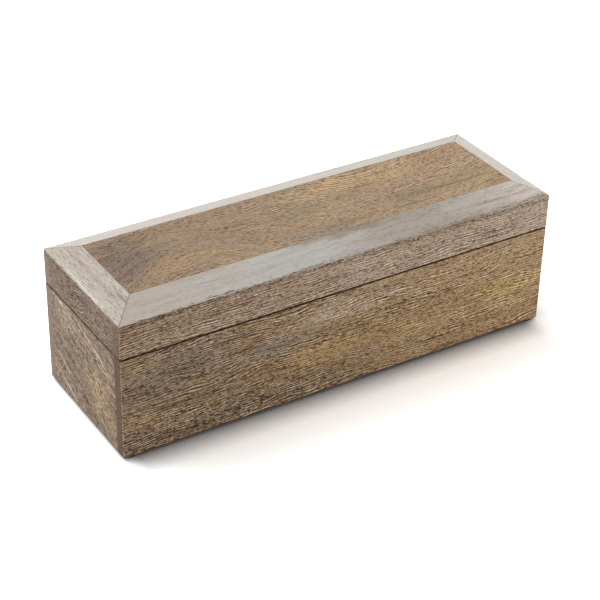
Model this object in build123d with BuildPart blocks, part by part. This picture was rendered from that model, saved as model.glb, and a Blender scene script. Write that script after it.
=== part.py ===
from build123d import *
from math import atan2, degrees
import os

# A long keepsake box in solid hardwood with a deep hinged lid.
#
# The body is four boards round a bottom panel, on four rubber pads. The lid has walls of its own, and its
# top is a centre panel tongued into four bevelled mouldings that are mitred at the corners. Two small brass
# butt hinges at the back join them.
#
# Lengths are in millimetres. +X runs along the box, -Y is its front, +Z is up. The origin is on the surface
# that the box stands on, at the middle of its outline with the hinge knuckles.

# The box
box_length = 320.0
box_width = 104.0
body_height = 72.2
lid_rail_height = 20.6
seam_gap = 0.6
board_thickness = 10.0
corner_rabbet_depth = 2.0
corner_round = 1.2
bottom_round = 1.5
edge_ease = 0.5

# The bottom panel and the pads under the corners
bottom_panel_thickness = 5.0
bottom_rabbet_width = 5.0
bottom_panel_clearance = 0.1
pad_diameter = 10.0
pad_thickness = 1.5
pad_chamfer = 0.4
pad_inset = 1.5

# The bevelled top
moulding_thickness = 10.2
moulding_edge_height = 3.0
side_moulding_width = 19.5
end_moulding_width = 17.6
tongue_length = 4.0
tongue_thickness = 3.0
tongue_height = 3.0
groove_clearance = 0.1

# The hinges: plain butt hinges, their pins level with the seam and just behind the rear face
hinge_length = 25.0
hinge_end_distance = 70.0
leaf_width = 8.0
leaf_thickness = 1.0
knuckle_count = 5
knuckle_gap = 0.2
pin_radius = 0.9
pin_clearance = 0.05
pin_setout = 0.4
pin_end_length = 0.5
pin_end_round = 0.3
knuckle_relief = 0.3
mortise_clearance = 0.1

# The hinge screws
screw_spacing = 15.0
screw_edge_distance = 4.8
screw_shank_radius = 0.9
screw_head_radius = 1.7
screw_head_height = 0.8
screw_length = 8.0
screw_point_length = 2.0
screw_slot_width = 0.5
screw_slot_depth = 0.35
screw_turn = 35.0
screw_hole_clearance = 0.05
screw_hole_extra_depth = 0.5

# Levels, from the floor up
body_bottom_z = pad_thickness
body_top_z = body_bottom_z + body_height
seam_z = body_top_z + seam_gap / 2
lid_bottom_z = body_top_z + seam_gap
moulding_bottom_z = lid_bottom_z + lid_rail_height
bevel_bottom_z = moulding_bottom_z + moulding_edge_height
box_top_z = moulding_bottom_z + moulding_thickness

# Places seen from above
knuckle_radius = pin_radius + pin_clearance + leaf_thickness
half_length = box_length / 2
front_y = -(box_width + pin_setout + knuckle_radius) / 2
rear_y = front_y + box_width
centre_y = (front_y + rear_y) / 2
inner_half_length = half_length - board_thickness
inner_front_y = front_y + board_thickness
inner_rear_y = rear_y - board_thickness
panel_half_length = half_length - end_moulding_width
panel_front_y = front_y + side_moulding_width
panel_rear_y = rear_y - side_moulding_width
pin_y = rear_y + pin_setout
screw_y = rear_y - screw_edge_distance
hinge_places = {
    "left": -half_length + hinge_end_distance,
    "right": half_length - hinge_end_distance,
}

os.makedirs("parts", exist_ok=True)


def save(piece, name):
    """Labels a finished piece and writes it."""
    piece.part.label = name
    export_step(piece.part, f"parts/{name}.step")


def rectangle(level, x_limits, y_limits):
    """A flat rectangle at a level, between two x values and two y values."""
    with BuildSketch(Plane.XY.offset(level)) as outline:
        with Locations((sum(x_limits) / 2, sum(y_limits) / 2)):
            Rectangle(abs(x_limits[1] - x_limits[0]), abs(y_limits[1] - y_limits[0]))
    return outline.sketch


# The hinges. A leaf is let into the wood downwards on the body, where into_wood is -1, and upwards on the
# lid, where it is 1. Its screws run the same way.

screw_head_angle = 2 * degrees(atan2(screw_head_radius - screw_shank_radius, screw_head_height))
body_knuckles = range(0, knuckle_count, 2)
lid_knuckles = range(1, knuckle_count, 2)


def barrel(from_x, length, radius):
    """A round bar about the axis of the hinge pins."""
    with BuildPart() as bar:
        with BuildSketch(Plane.YZ.offset(from_x)):
            with Locations((pin_y, seam_z)):
                Circle(radius)
        extrude(amount=length)
    return bar.part


def screw_points(hinge_x):
    """Where the two screws of a leaf are, seen from above."""
    return [(hinge_x - screw_spacing / 2, screw_y), (hinge_x + screw_spacing / 2, screw_y)]


def hinge_seat(hinge_x, wood_z, into_wood):
    """What one leaf needs cut from the wood: its mortise, a trough for the knuckles and two screw holes."""
    half_mortise = hinge_length / 2 + mortise_clearance
    mortise_y = rear_y - leaf_width - mortise_clearance
    half_trough = hinge_length / 2 + pin_end_length + knuckle_relief
    with BuildPart() as seat:
        extrude(
            rectangle(wood_z, (hinge_x - half_mortise, hinge_x + half_mortise), (mortise_y, pin_y)),
            amount=into_wood * leaf_thickness,
        )
        add(barrel(hinge_x - half_trough, 2 * half_trough, knuckle_radius + knuckle_relief))
        with BuildSketch(Plane.XY.offset(wood_z)):
            with Locations(*screw_points(hinge_x)):
                Circle(screw_shank_radius + screw_hole_clearance)
        extrude(amount=into_wood * (screw_length + screw_hole_extra_depth))
    return seat.part


def hinge_leaf(hinge_x, wood_z, into_wood, own_knuckles):
    """A leaf, with its own knuckles round the pin and room between them for the other leaf's."""
    pitch = hinge_length / knuckle_count
    start_x = hinge_x - hinge_length / 2
    screw_planes = [Plane((x, y, wood_z), z_dir=(0, 0, -into_wood)) for x, y in screw_points(hinge_x)]
    with BuildPart() as leaf:
        extrude(
            rectangle(wood_z, (start_x, start_x + hinge_length), (rear_y - leaf_width, pin_y)),
            amount=into_wood * leaf_thickness,
        )
        for index in range(knuckle_count):
            if index not in own_knuckles:
                room = barrel(start_x + index * pitch, pitch, knuckle_radius + knuckle_relief)
                add(room, mode=Mode.SUBTRACT)
        for index in own_knuckles:
            knuckle_x = start_x + index * pitch + knuckle_gap / 2
            add(barrel(knuckle_x, pitch - knuckle_gap, knuckle_radius))
        add(barrel(start_x, hinge_length, pin_radius + pin_clearance), mode=Mode.SUBTRACT)
        with Locations(*screw_planes):
            CounterSinkHole(
                screw_shank_radius + screw_hole_clearance,
                screw_head_radius + screw_hole_clearance,
                depth=leaf_thickness,
                counter_sink_angle=screw_head_angle,
            )
    return leaf.part


# The boards of the body and the rails of the lid are joined alike: the long ones run the whole length, and
# the ends are let into shallow rabbets in them.


def long_board(outer_y, bottom_z, height, low_round, high_round):
    """A front or rear board. Its outer corners and edges are rounded before the rabbets are cut."""
    inward = 1 if outer_y == front_y else -1
    inner_y = outer_y + inward * board_thickness
    rabbet_y = inner_y - inward * corner_rabbet_depth
    with BuildPart() as board:
        extrude(rectangle(bottom_z, (-half_length, half_length), (outer_y, inner_y)), amount=height)
        outer_face = board.faces().sort_by(Axis.Y)[0 if inward > 0 else -1]
        fillet(outer_face.edges().filter_by(Axis.Z), corner_round)
        for face_order, size in ((0, low_round), (-1, high_round)):
            if size:
                edges = board.faces().sort_by(Axis.Z)[face_order].edges()
                fillet(edges.filter_by(lambda edge: abs(edge.center().Y - inner_y) > size), size)
        for end_x, seat_x in ((-half_length, -inner_half_length), (half_length, inner_half_length)):
            rabbet = rectangle(bottom_z, (end_x, seat_x), (rabbet_y, inner_y))
            extrude(rabbet, amount=height, mode=Mode.SUBTRACT)
    return board.part


def end_board(side, bottom_z, height, low_round, high_round):
    """A left board, where side is -1, or a right one. It reaches to the bottom of the rabbets."""
    x_limits = (side * half_length, side * inner_half_length)
    y_limits = (inner_front_y - corner_rabbet_depth, inner_rear_y + corner_rabbet_depth)
    with BuildPart() as board:
        extrude(rectangle(bottom_z, x_limits, y_limits), amount=height)
        for edge_order, size in ((0, low_round), (-1, high_round)):
            if size:
                outer_face = board.faces().sort_by(Axis.X)[0 if side < 0 else -1]
                fillet(outer_face.edges().filter_by(Axis.Y).sort_by(Axis.Z)[edge_order], size)
    return board.part


# The body: four boards with a seat for the bottom panel, which is flush with their lower edges


def bottom_outline(reach):
    """The bottom panel's outline, as far as reach beyond the boards' inner faces."""
    return rectangle(
        body_bottom_z,
        (-inner_half_length - reach, inner_half_length + reach),
        (inner_front_y - reach, inner_rear_y + reach),
    )


bottom_seat = bottom_outline(bottom_rabbet_width)

with BuildPart() as front_board:
    add(long_board(front_y, body_bottom_z, body_height, bottom_round, edge_ease))
    extrude(bottom_seat, amount=bottom_panel_thickness, mode=Mode.SUBTRACT)
save(front_board, "front_board")

with BuildPart() as rear_board:
    add(long_board(rear_y, body_bottom_z, body_height, bottom_round, edge_ease))
    extrude(bottom_seat, amount=bottom_panel_thickness, mode=Mode.SUBTRACT)
    for hinge_x in hinge_places.values():
        add(hinge_seat(hinge_x, body_top_z, into_wood=-1), mode=Mode.SUBTRACT)
save(rear_board, "rear_board")

for name, side in (("left", -1), ("right", 1)):
    with BuildPart() as side_board:
        add(end_board(side, body_bottom_z, body_height, bottom_round, edge_ease))
        extrude(bottom_seat, amount=bottom_panel_thickness, mode=Mode.SUBTRACT)
    save(side_board, f"{name}_end_board")

with BuildPart() as bottom_panel:
    extrude(bottom_outline(bottom_rabbet_width - bottom_panel_clearance), amount=bottom_panel_thickness)
save(bottom_panel, "bottom_panel")

pad_radius = pad_diameter / 2
pad_x = half_length - pad_inset - pad_radius
for row, pad_y in (("front", front_y + pad_inset + pad_radius), ("rear", rear_y - pad_inset - pad_radius)):
    for name, side in (("left", -1), ("right", 1)):
        with BuildPart() as pad:
            with BuildSketch():
                with Locations((side * pad_x, pad_y)):
                    Circle(pad_radius)
            extrude(amount=pad_thickness)
            chamfer(pad.edges().group_by(Axis.Z)[0], pad_chamfer)
        save(pad, f"pad_{row}_{name}")

# The lid's rails. Their upper edges stay sharp, because the mouldings are glued on flush with them.

with BuildPart() as lid_front_rail:
    add(long_board(front_y, lid_bottom_z, lid_rail_height, low_round=edge_ease, high_round=0))
save(lid_front_rail, "lid_front_rail")

with BuildPart() as lid_rear_rail:
    add(long_board(rear_y, lid_bottom_z, lid_rail_height, low_round=edge_ease, high_round=0))
    for hinge_x in hinge_places.values():
        add(hinge_seat(hinge_x, lid_bottom_z, into_wood=1), mode=Mode.SUBTRACT)
save(lid_rear_rail, "lid_rear_rail")

for name, side in (("left", -1), ("right", 1)):
    with BuildPart() as side_rail:
        add(end_board(side, lid_bottom_z, lid_rail_height, low_round=edge_ease, high_round=0))
    save(side_rail, f"lid_{name}_rail")

# The bevelled mouldings on the rails. Their mitres run from the box's corners to the panel's corners.

box_corners = {
    "front_left": (-half_length, front_y),
    "front_right": (half_length, front_y),
    "rear_right": (half_length, rear_y),
    "rear_left": (-half_length, rear_y),
}
panel_corners = {
    "front_left": (-panel_half_length, panel_front_y),
    "front_right": (panel_half_length, panel_front_y),
    "rear_right": (panel_half_length, panel_rear_y),
    "rear_left": (-panel_half_length, panel_rear_y),
}


def moulding(from_corner, to_corner, across, outer, inner):
    """The moulding between two corners of the box. Its section is drawn on the plane across, where outer and
    inner are the places of its outer and inner faces."""
    inward = 1 if inner > outer else -1
    with BuildPart() as piece:
        with BuildSketch(Plane.XY.offset(moulding_bottom_z)):
            with Locations((0, centre_y)):
                RectangleRounded(box_length, box_width, corner_round)
            with BuildLine():
                Polyline(
                    box_corners[from_corner],
                    box_corners[to_corner],
                    panel_corners[to_corner],
                    panel_corners[from_corner],
                    close=True,
                )
            make_face(mode=Mode.INTERSECT)
        extrude(amount=moulding_thickness)
        with BuildSketch(across):
            with BuildLine():
                Polyline((outer, bevel_bottom_z), (inner, box_top_z), (outer, box_top_z), close=True)
            make_face()
            with Locations(
                (inner - inward * tongue_length / 2, moulding_bottom_z + tongue_height + tongue_thickness / 2)
            ):
                Rectangle(tongue_length, tongue_thickness + 2 * groove_clearance)
        extrude(amount=box_length, both=True, mode=Mode.SUBTRACT)
    return piece


across_box = Plane.YZ
along_box = Plane((0, 0, 0), x_dir=(1, 0, 0), z_dir=(0, -1, 0))
save(moulding("front_left", "front_right", across_box, front_y, panel_front_y), "lid_front_moulding")
save(moulding("rear_left", "rear_right", across_box, rear_y, panel_rear_y), "lid_rear_moulding")
save(moulding("front_left", "rear_left", along_box, -half_length, -panel_half_length), "lid_left_moulding")
save(moulding("front_right", "rear_right", along_box, half_length, panel_half_length), "lid_right_moulding")

with BuildPart() as lid_centre_panel:
    extrude(
        rectangle(moulding_bottom_z, (-panel_half_length, panel_half_length), (panel_front_y, panel_rear_y)),
        amount=moulding_thickness,
    )
    with BuildSketch(Plane.XY.offset(moulding_bottom_z + tongue_height)):
        with Locations((0, centre_y)):
            Rectangle(
                2 * (panel_half_length + tongue_length - groove_clearance),
                panel_rear_y - panel_front_y + 2 * (tongue_length - groove_clearance),
            )
    extrude(amount=tongue_thickness)
save(lid_centre_panel, "lid_centre_panel")

# The hinges' leaves, pins and screws

pin_length = hinge_length + 2 * pin_end_length
for name, hinge_x in hinge_places.items():
    with BuildPart() as body_leaf:
        add(hinge_leaf(hinge_x, body_top_z, -1, body_knuckles))
    save(body_leaf, f"{name}_hinge_body_leaf")

    with BuildPart() as lid_leaf:
        add(hinge_leaf(hinge_x, lid_bottom_z, 1, lid_knuckles))
    save(lid_leaf, f"{name}_hinge_lid_leaf")

    with BuildPart() as pin:
        add(barrel(hinge_x - pin_length / 2, pin_length, pin_radius))
        fillet(pin.edges().filter_by(GeomType.CIRCLE), pin_end_round)
    save(pin, f"{name}_hinge_pin")

with BuildPart() as screw:
    with BuildSketch(Plane.XZ):
        with BuildLine():
            Polyline(
                (0, 0),
                (screw_head_radius, 0),
                (screw_shank_radius, -screw_head_height),
                (screw_shank_radius, screw_point_length - screw_length),
                (0, -screw_length),
                close=True,
            )
        make_face()
    revolve(axis=Axis.Z)
    with BuildSketch():
        Rectangle(2 * screw_head_radius, screw_slot_width)
    extrude(amount=-screw_slot_depth, mode=Mode.SUBTRACT)

all_screw_points = [point for hinge_x in hinge_places.values() for point in screw_points(hinge_x)]
for name, wood_z, into_wood in (("body_hinge_screws", body_top_z, -1), ("lid_hinge_screws", lid_bottom_z, 1)):
    with BuildPart() as screws:
        for index, (x, y) in enumerate(all_screw_points):
            head_plane = Plane((x, y, wood_z), z_dir=(0, 0, -into_wood))
            with Locations(head_plane.rotated((0, 0, index * screw_turn))):
                add(screw.part)
    save(screws, name)
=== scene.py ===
# %% [markdown]
# A keepsake box in mango wood. Its boards are stained and waxed, and the bevels round its top are
# whitewashed. The joints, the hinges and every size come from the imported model, which this script dresses.

# %% Load the frame
import math

import bmesh
import bpy
from mathutils import Matrix, Quaternion, Vector, noise


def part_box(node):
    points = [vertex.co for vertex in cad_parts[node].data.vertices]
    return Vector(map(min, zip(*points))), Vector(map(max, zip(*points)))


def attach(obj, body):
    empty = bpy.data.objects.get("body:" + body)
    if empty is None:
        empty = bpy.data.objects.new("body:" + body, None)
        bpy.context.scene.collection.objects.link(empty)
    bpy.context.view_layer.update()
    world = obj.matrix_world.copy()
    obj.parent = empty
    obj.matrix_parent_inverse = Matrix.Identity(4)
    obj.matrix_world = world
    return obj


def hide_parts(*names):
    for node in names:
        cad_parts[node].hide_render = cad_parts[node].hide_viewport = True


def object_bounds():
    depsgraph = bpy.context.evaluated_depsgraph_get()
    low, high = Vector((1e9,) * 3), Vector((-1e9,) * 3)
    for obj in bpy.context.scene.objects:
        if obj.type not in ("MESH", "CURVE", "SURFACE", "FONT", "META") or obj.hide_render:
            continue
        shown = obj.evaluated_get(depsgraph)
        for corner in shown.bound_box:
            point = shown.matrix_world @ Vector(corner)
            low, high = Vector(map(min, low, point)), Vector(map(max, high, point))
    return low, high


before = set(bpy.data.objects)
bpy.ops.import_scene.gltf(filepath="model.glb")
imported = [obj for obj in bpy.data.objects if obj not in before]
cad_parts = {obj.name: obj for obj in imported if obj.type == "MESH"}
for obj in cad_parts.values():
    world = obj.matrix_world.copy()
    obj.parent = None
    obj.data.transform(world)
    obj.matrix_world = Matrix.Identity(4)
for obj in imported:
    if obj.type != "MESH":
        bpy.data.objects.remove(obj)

scene = bpy.context.scene
model_low, model_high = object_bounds()
print("the box measures", [round(size * 1000, 2) for size in model_high - model_low], "mm")

# %% [markdown]
# Every colour in this lesson is written as the sRGB hex value that a colour picker shows. Blender's sockets
# hold linear light, so one function turns them. A second function adds a node with its settings and links,
# and three more are short for the nodes that calculate. All the trees below are written with them.

# %% Colours, sizes and nodes
MM = 0.001


def linear(hex_colour):
    """An sRGB hex colour as the linear RGBA of Blender's sockets, by the formula of the sRGB standard."""
    channels = [int(hex_colour[start:start + 2], 16) / 255 for start in (1, 3, 5)]
    return tuple(c / 12.92 if c <= 0.04045 else ((c + 0.055) / 1.055) ** 2.4 for c in channels) + (1.0,)


def add_node(tree, kind, inputs=None, **settings):
    """Adds a node with its settings. Each input, by name or identifier, takes a value, a socket or a node."""
    node = tree.nodes.new(kind)
    for name, value in settings.items():
        setattr(node, name, value)
    sockets = {socket.identifier: socket for socket in node.inputs}
    for name, value in (inputs or {}).items():
        socket = sockets[name] if name in sockets else node.inputs[name]
        if isinstance(value, bpy.types.Node):
            value = next(output for output in value.outputs if output.enabled)
        if isinstance(value, bpy.types.NodeSocket):
            tree.links.new(value, socket)
        else:
            socket.default_value = value
    return node


def maths(tree, operation, *values, **settings):
    """Adds a node that calculates with numbers."""
    return add_node(tree, "ShaderNodeMath", dict(enumerate(values)), operation=operation, **settings)


def vector_maths(tree, operation, *values):
    """Adds a node that calculates with vectors. SCALE takes a vector and a number."""
    places = (0, "Scale") if operation == "SCALE" else range(3)
    return add_node(tree, "ShaderNodeVectorMath", dict(zip(places, values)), operation=operation)


def ranged(tree, value, from_range=(0.0, 1.0), to_range=(0.0, 1.0), **settings):
    """Adds a node that maps a value from one range to another and stops at its ends."""
    return add_node(tree, "ShaderNodeMapRange", {
        "Value": value, "From Min": from_range[0], "From Max": from_range[1],
        "To Min": to_range[0], "To Max": to_range[1]}, **settings)


def new_material(name):
    """A material whose node tree is still empty, and that tree."""
    material = bpy.data.materials.new(name)
    material.use_nodes = True
    material.node_tree.nodes.clear()
    return material, material.node_tree


# %% [markdown]
# The camera stands in front of the box's left corner and looks down on it, with a long lens. Its angles and
# its place are all that it needs.

# %% The camera
camera_azimuth = math.radians(-32.552)
camera_elevation = math.radians(32.33)
camera_roll = math.radians(1.369)
camera_place = Vector((-0.525626, -0.821445, 0.654492))
sensor_width_mm = 36.0
picture_pixels = 600
focal_pixels = 1740.1

towards_camera = Vector((
    math.sin(camera_azimuth) * math.cos(camera_elevation),
    -math.cos(camera_azimuth) * math.cos(camera_elevation),
    math.sin(camera_elevation),
))
camera = bpy.data.objects.new("camera", bpy.data.cameras.new("camera"))
scene.collection.objects.link(camera)
camera.data.sensor_width = sensor_width_mm
camera.data.lens = focal_pixels * sensor_width_mm / picture_pixels
camera.location = camera_place
camera.rotation_mode = "QUATERNION"
camera.rotation_quaternion = towards_camera.to_track_quat("Z", "Y") @ Quaternion((0, 0, 1), camera_roll)
scene.camera = camera
print("the lens is", round(camera.data.lens, 1), "mm")

# %% [markdown]
# The studio is a white table under one large soft lamp, above and behind the box, with white walls all round.
# The walls are the world's own light. To the camera and in reflections they are plain white, and on the
# surfaces they give a softer light, so that the lamp can draw a shadow.

# %% Light, table and backdrop
wall_light = 0.55
key_light_watts = 9.5
key_light_place = Vector((-0.5, 0.62, 1.0))
key_light_size = 1.1

scene.view_settings.view_transform = "Standard"
world = bpy.data.worlds.new("white_walls")
world.use_nodes = True
world_tree = world.node_tree
world_tree.nodes.clear()
path = add_node(world_tree, "ShaderNodeLightPath")
seen = maths(world_tree, "MAXIMUM", path.outputs["Is Camera Ray"], path.outputs["Is Glossy Ray"])
seen = maths(world_tree, "MAXIMUM", seen, path.outputs["Is Transmission Ray"])
strength = ranged(world_tree, seen, to_range=(wall_light, 1.0))
walls = add_node(world_tree, "ShaderNodeBackground", {"Color": linear("#ffffff"), "Strength": strength})
add_node(world_tree, "ShaderNodeOutputWorld", {"Surface": walls})
scene.world = world

key_light = bpy.data.objects.new("key_light", bpy.data.lights.new("key_light", "AREA"))
scene.collection.objects.link(key_light)
key_light.data.energy = key_light_watts
key_light.data.size = key_light_size
key_light.location = key_light_place
key_light.rotation_mode = "QUATERNION"
key_light.rotation_quaternion = key_light_place.to_track_quat("Z", "Y")

floor_half_size = 3.0
floor_mesh = bpy.data.meshes.new("floor")
floor_mesh.from_pydata(
    [(x, y, 0) for x, y in ((-1, -1), (1, -1), (1, 1), (-1, 1))], [], [(0, 1, 2, 3)])
floor_mesh.transform(Matrix.Scale(floor_half_size, 4))
floor = bpy.data.objects.new("floor", floor_mesh)
scene.collection.objects.link(floor)

print("the table is", 2 * floor_half_size, "m wide, under a lamp of", key_light_size, "m")

# %% [markdown]
# The table is covered with white card. It greys softly in the shade beside the box, where an ambient
# occlusion node also darkens its colour: a painted contact shadow. Near and past the box's two ends its
# colour is raised, a painted light that keeps it white over the lamp's shadow. To the camera it is drawn
# brighter than card, so that its lit part is pure white. All other rays see plain card, so it throws no
# more light on the box than card would.

# %% The white card
plain_card, lit_card, lit_card_past_ends = 0.88, 1.85, 2.3
shaded_card, shaded_card_past_ends = 0.48, 1.7
contact_shade_mm, shade_samples, full_shade = 22.0, 8, 0.5
ends_begin, shade_ends, light_ends = (model_high.x + step_mm * MM for step_mm in (-10, 2, 15))

floor_card, card_tree = new_material("white_card")
card_path = add_node(card_tree, "ShaderNodeLightPath")
# An ambient occlusion node darkens the card near the box: a painted contact shadow.
open_sky = add_node(card_tree, "ShaderNodeAmbientOcclusion", {"Distance": contact_shade_mm * MM},
                    samples=shade_samples)
card_place = add_node(card_tree, "ShaderNodeTexCoord")
card_place = vector_maths(card_tree, "ABSOLUTE", card_place.outputs["Object"])
card_place = add_node(card_tree, "ShaderNodeSeparateXYZ", {"Vector": card_place})
# Near and past the box's ends the card's colour is raised: painted light over the lamp's shadow.
in_shade = ranged(card_tree, card_place.outputs["X"], (ends_begin, shade_ends),
                  (shaded_card, shaded_card_past_ends))
in_light = ranged(card_tree, card_place.outputs["X"], (ends_begin, light_ends),
                  (lit_card, lit_card_past_ends))
seen_card = ranged(card_tree, open_sky.outputs["AO"], (full_shade, 1.0), (in_shade, in_light))
card_colour = add_node(card_tree, "ShaderNodeMix", {
    "Factor_Float": card_path.outputs["Is Camera Ray"], "A_Float": plain_card, "B_Float": seen_card})
card = add_node(card_tree, "ShaderNodeBsdfDiffuse", {"Color": card_colour})
add_node(card_tree, "ShaderNodeOutputMaterial", {"Surface": card})
floor_mesh.materials.append(floor_card)
print("the card's tree has", len(card_tree.nodes), "nodes")

# %% [markdown]
# The boards are already right in the model: their joints, rabbets and hinge seats are cut there. What a
# planed and sanded board has besides is worn edges, faces that are not quite flat, and a hairline where two
# boards meet. So each board here is a copy of the model's own mesh, with its loose triangles merged. Edges
# that show from both sides are worn round. Where the outside meets a joint face, the edge gets a tiny bevel,
# so that two boards meet in a fine V, which is wider at the mitres. Then the board is cut into short
# lengths, and its outside is lowered by a few hundredths of a millimetre. Nothing is added outside the model.

# %% The outline of the closed box
left_low, left_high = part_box("lid_left_moulding")
front_low, front_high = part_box("lid_front_moulding")
_, rear_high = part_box("lid_rear_moulding")
body_low, body_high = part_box("front_board")
rail_low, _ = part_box("lid_front_rail")
bevel_edge = 3.0 * MM
bevel_bottom = front_low.z + bevel_edge
box_top = front_high.z
wood_bottom = body_low.z
seam_low, seam_high = body_high.z, rail_low.z
side_slope = (box_top - bevel_bottom) / (front_high.y - front_low.y)
end_slope = (box_top - bevel_bottom) / (left_high.x - left_low.x)
print("the bevels slope", [round(math.degrees(math.atan(slope)), 1) for slope in (side_slope, end_slope)])


def is_outside_the_box(point):
    """Whether a point lies outside the closed box."""
    from_end = front_high.x - abs(point.x)
    from_side = min(point.y - front_low.y, rear_high.y - point.y)
    roof = min(box_top, bevel_bottom + from_end * end_slope, bevel_bottom + from_side * side_slope)
    return from_end < 0 or from_side < 0 or point.z < wood_bottom or point.z > roof


# %% A board's faces and edges
OUTSIDE, BARE, JOINT, EDGE = range(4)
look_out = 0.6 * MM
same_place, cut_tolerance = 0.001 * MM, 0.0001 * MM
flat_degrees, sharp_degrees = 0.5, 50
slant = 0.1
level = 0.9


def copied_form(node):
    """A node's mesh as one closed form: its loose triangles merged, its flat faces whole."""
    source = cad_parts[node].data
    form = bmesh.new()
    points = [form.verts.new(vertex.co) for vertex in source.vertices]
    for polygon in source.polygons:
        form.faces.new([points[index] for index in polygon.vertices])
    bmesh.ops.remove_doubles(form, verts=form.verts, dist=same_place)
    bmesh.ops.dissolve_limit(form, angle_limit=math.radians(flat_degrees), verts=form.verts, edges=form.edges)
    form.normal_update()
    return form


def is_outside(face):
    """Whether a face shows on the closed box."""
    return is_outside_the_box(face.calc_center_median() + face.normal * look_out)


def is_rim(face):
    """Whether a face is one of the two that meet at the seam."""
    height = face.calc_center_median().z
    return abs(face.normal.z) > level and seam_low - MM < height < seam_high + MM


def sharp_edges(form, sides_outside):
    """A form's sharp, convex edges with that number of outside faces."""
    form.normal_update()
    outside = {face for face in form.faces if is_outside(face)}
    return [edge for edge in form.edges
            if len(edge.link_faces) == 2 and edge.is_convex
            and edge.calc_face_angle() > math.radians(sharp_degrees)
            and len(outside.intersection(edge.link_faces)) == sides_outside]


def is_mitre(edge):
    """Whether an edge runs slantwise in every direction, as only the mitres do."""
    run = edge.verts[1].co - edge.verts[0].co
    return min(abs(run.x), abs(run.y), abs(run.z)) > slant * run.length


# %% How a board is dressed
mitre_bevel, joint_bevel, worn_arris = 0.35 * MM, 0.15 * MM, 0.45 * MM
AS_BESIDE = -1
shortest_edge = 0.002 * MM
cut_length = 6.0 * MM
unevenness, uneven_scale, mean_sink = 0.07 * MM, 22.0 * MM, 0.5
bevel_looks_up = 0.3
smooth_degrees = 28


def bevelled(form, edges, offset, segments, material):
    """Bevels edges of a form. The new faces get that material, or that of the faces beside them."""
    bmesh.ops.bevel(form, geom=edges, offset=offset, segments=segments, affect="EDGES", profile=0.5,
                    material=material, clamp_overlap=True)


def cut_across(form, axis):
    """Cuts a form into short lengths along an axis."""
    low = min(vertex.co[axis] for vertex in form.verts)
    high = max(vertex.co[axis] for vertex in form.verts)
    count = math.ceil((high - low) / cut_length)
    for index in range(1, count):
        place = Vector()
        place[axis] = low + (high - low) * index / count
        across = Vector()
        across[axis] = 1.0
        bmesh.ops.bisect_plane(form, geom=form.verts[:] + form.edges[:] + form.faces[:], dist=cut_tolerance,
                               plane_co=place, plane_no=across)


def smooth_mesh(form, name, sharp_from_degrees):
    """A form's mesh, smooth but for its sharper edges."""
    mesh = bpy.data.meshes.new(name)
    form.to_mesh(mesh)
    form.free()
    mesh.polygons.foreach_set("use_smooth", [True] * len(mesh.polygons))
    mesh.set_sharp_from_angle(angle=math.radians(sharp_from_degrees))
    return mesh


def dressed_board(node, name, body, slot, materials):
    """A board that stands for a node, with worn edges and its finishes."""
    form = copied_form(node)
    for face in form.faces:
        face.material_index = OUTSIDE if is_outside(face) or is_rim(face) else BARE
    bevelled(form, [edge for edge in sharp_edges(form, 1) if is_mitre(edge)], mitre_bevel, 1, JOINT)
    bevelled(form, sharp_edges(form, 2), worn_arris, 3, AS_BESIDE)
    bevelled(form, sharp_edges(form, 1), joint_bevel, 1, JOINT)
    bmesh.ops.dissolve_degenerate(form, dist=shortest_edge, edges=form.edges)
    for axis in range(3):
        cut_across(form, axis)
    form.normal_update()
    if len(materials) > EDGE:
        for face in form.faces:
            if face.material_index == OUTSIDE and face.normal.z < bevel_looks_up:
                face.material_index = EDGE
    low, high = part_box(node)
    for vertex in form.verts:
        if all(face.material_index in (OUTSIDE, EDGE) for face in vertex.link_faces):
            swell = noise.noise(vertex.co / uneven_scale)
            vertex.co -= vertex.normal * unevenness * max(0.0, mean_sink + swell)
        vertex.co = [min(max(place, least), most) for place, least, most in zip(vertex.co, low, high)]
    mesh = smooth_mesh(form, name, smooth_degrees)
    for material in materials:
        mesh.materials.append(material)
    board = bpy.data.objects.new(name, mesh)
    scene.collection.objects.link(board)
    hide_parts(node)
    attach(board, body)
    print(name, "has", len(mesh.polygons), "faces")


# %% [markdown]
# Mango wood has a wandering, often interlocked grain. Up close it is full of short dark dashes, its open
# pores, 4 to 8 mm long and a few tenths of a millimetre wide. Between them run paler and darker fibres, and
# over them lie broad zones of grey brown, pink brown and golden sapwood. A picture of wood would slide over
# the edges. A pattern in space is cut by each face as a plank is sawn: long dashes on a side, dots on an end.
# So one group of nodes makes that pattern, with the grain along X, and every board looks up its own cut.
# Pores and fibres are drawn 1 to 2 mm apart, because finer ones would blur into one grey at this distance.

# %% The sizes of the grain
pore_length_mm, pore_pitch_mm = 5.0, 1.25
fibre_length_mm, fibre_bundle_mm, fibres_in_bundle = 10.0, 4.0, 3.5
streak_length_mm, streak_width_mm = 48.0, 1.5
fleck_length_mm, fleck_width_mm = 1.5, 0.9
patch_length_mm, patch_width_mm = 22.0, 6.0
zone_length_mm, zone_width_mm = 120.0, 12.0
hue_length_mm, hue_width_mm = 62.0, 13.0
wander_length_mm, wander_width_mm = 75.0, 26.0
ripple_length_mm, ripple_width_mm, ripple_mm = 16.0, 6.0, 0.7
fibre_weight, streak_weight, pore_weight, patch_weight, zone_weight = 0.9, -0.16, -0.24, 0.14, 0.16
small_pore, large_pore = 0.34, 0.5


def grain_scale(length_mm, width_mm):
    """What stretches a pattern to a length along the grain and a width across it."""
    return (1 / length_mm, 1 / width_mm, 1 / width_mm)


print("pores are", pore_length_mm, "mm long and", pore_pitch_mm, "mm apart")

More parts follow.
